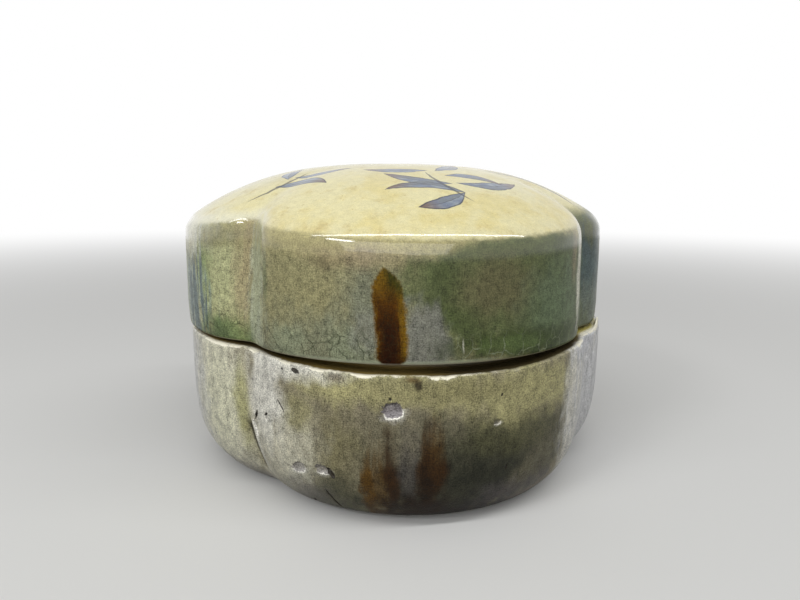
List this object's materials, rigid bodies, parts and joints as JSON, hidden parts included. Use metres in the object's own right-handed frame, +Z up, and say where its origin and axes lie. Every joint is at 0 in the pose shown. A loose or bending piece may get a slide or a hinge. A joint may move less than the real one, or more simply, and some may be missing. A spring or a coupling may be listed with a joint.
{
  "type": "lidded ceramic box",
  "caption": "Small stoneware box with a soft four-lobed outline: a bowl-shaped base with an upstanding collar and a domed lid that drops over the collar.",
  "frame": {"origin": "middle of the footprint, on the surface that the box stands on", "axes": "+Z up along the lid's lift, +X along the narrower side lobes, -Y towards the front lobe"},
  "size_m": [0.0812, 0.0838, 0.0557],
  "materials": {
    "base_glaze": "thin satin ash glaze, grey-beige with olive clouds, rust-brown runs, pits and chips",
    "lid_glaze": "clear crackled glaze, cream on the dome and olive green on the wall, with an amber run and brush painting"
  },
  "bodies": {
    "base": {"base": "base_glaze"},
    "lid": {"lid": "lid_glaze"}
  },
  "joints": [
    {"name": "lid_lift", "type": "slide", "parent": "base", "child": "lid", "axis": [0, 0, 1], "range_m": [0, 0.04]}
  ]
}
